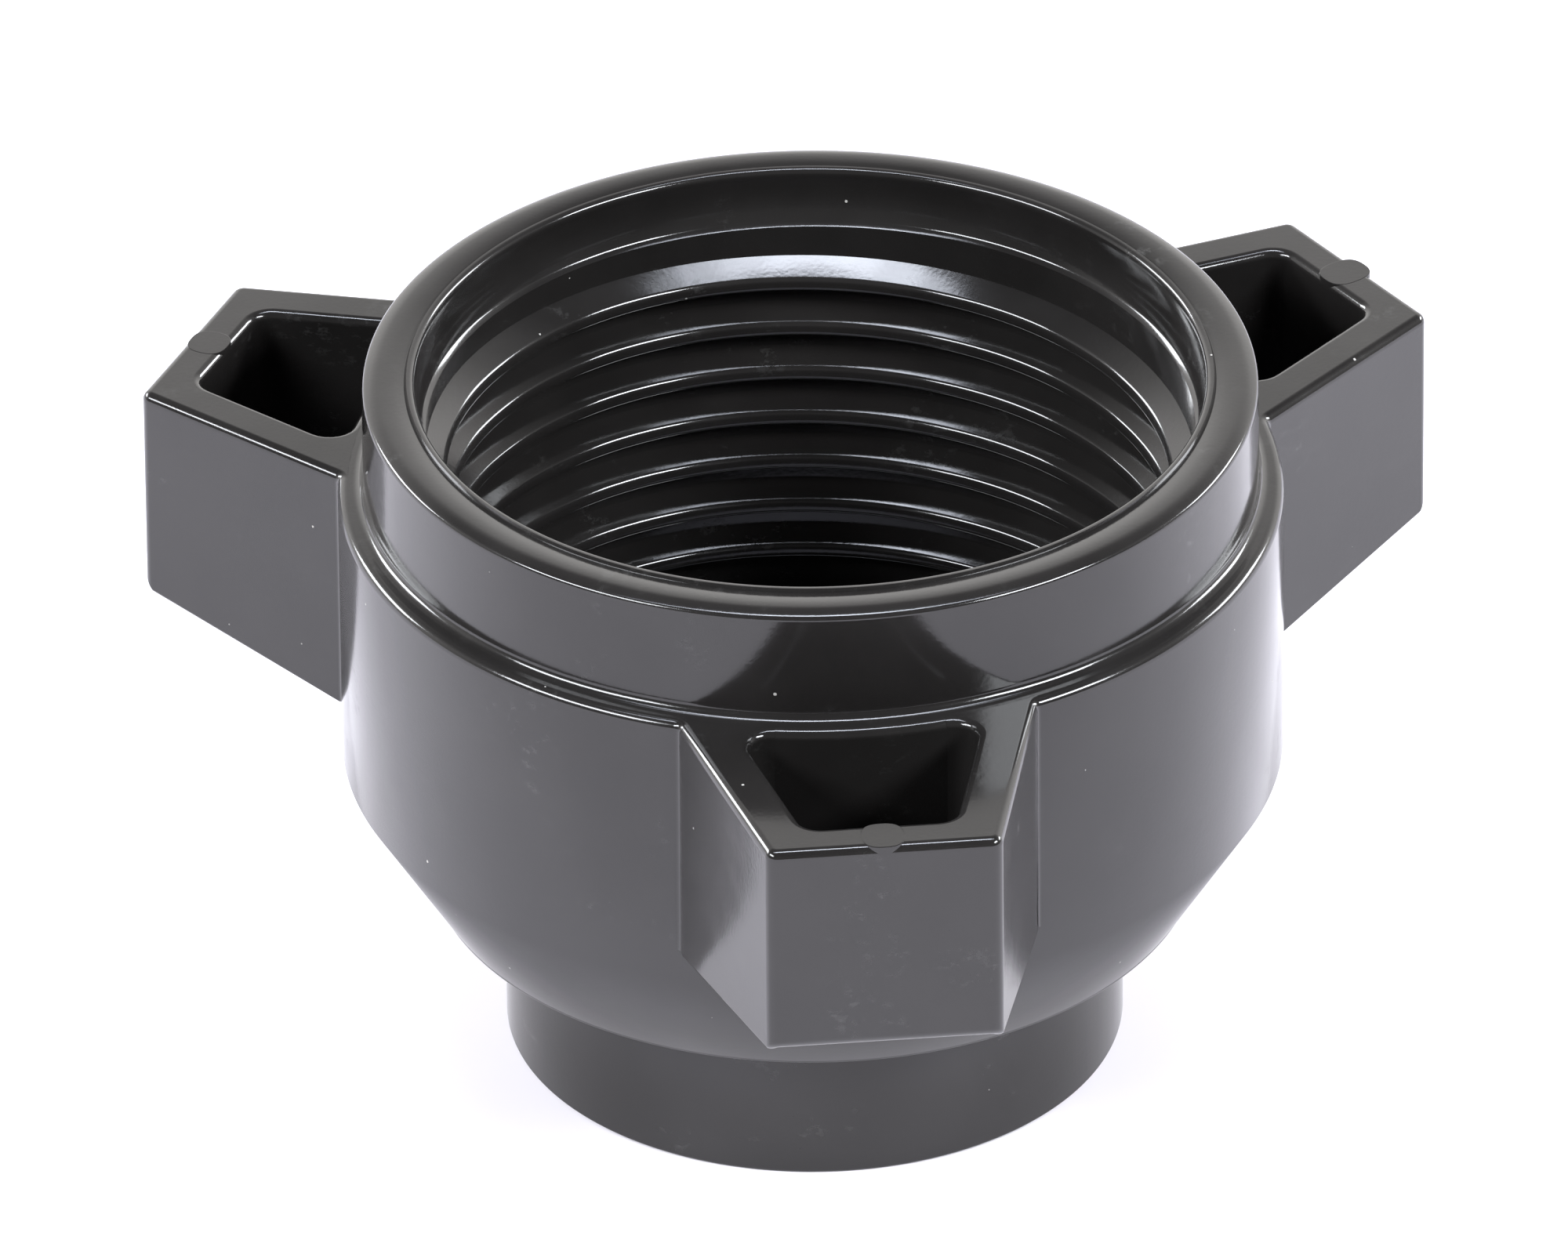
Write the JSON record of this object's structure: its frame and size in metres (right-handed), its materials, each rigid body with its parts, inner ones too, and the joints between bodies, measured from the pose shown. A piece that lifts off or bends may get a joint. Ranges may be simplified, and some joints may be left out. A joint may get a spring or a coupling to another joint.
{
  "type": "wing nut",
  "caption": "Black moulded-plastic pipe-coupling wing nut: hollow wings, threaded barrel with a plain rim collar, tapered base and a straight neck sleeve.",
  "frame": {"origin": "on the thread axis, at the nut's centroid, 14.26 mm above the neck's end face", "axes": "+Z along the thread axis from the neck towards the rim; -Y out through the middle of the front wing; +X to the right when the front wing is seen head on"},
  "size_m": [0.0446, 0.0398, 0.0256],
  "materials": {
    "black_plastic": "satin moulded"
  },
  "bodies": {
    "root": {"neck_sleeve": "black_plastic", "seat_floor": "black_plastic", "tapered_base": "black_plastic", "threaded_barrel": "black_plastic", "rim_collar": "black_plastic", "wing_front": "black_plastic", "wing_right": "black_plastic", "wing_left": "black_plastic"}
  },
  "joints": []
}
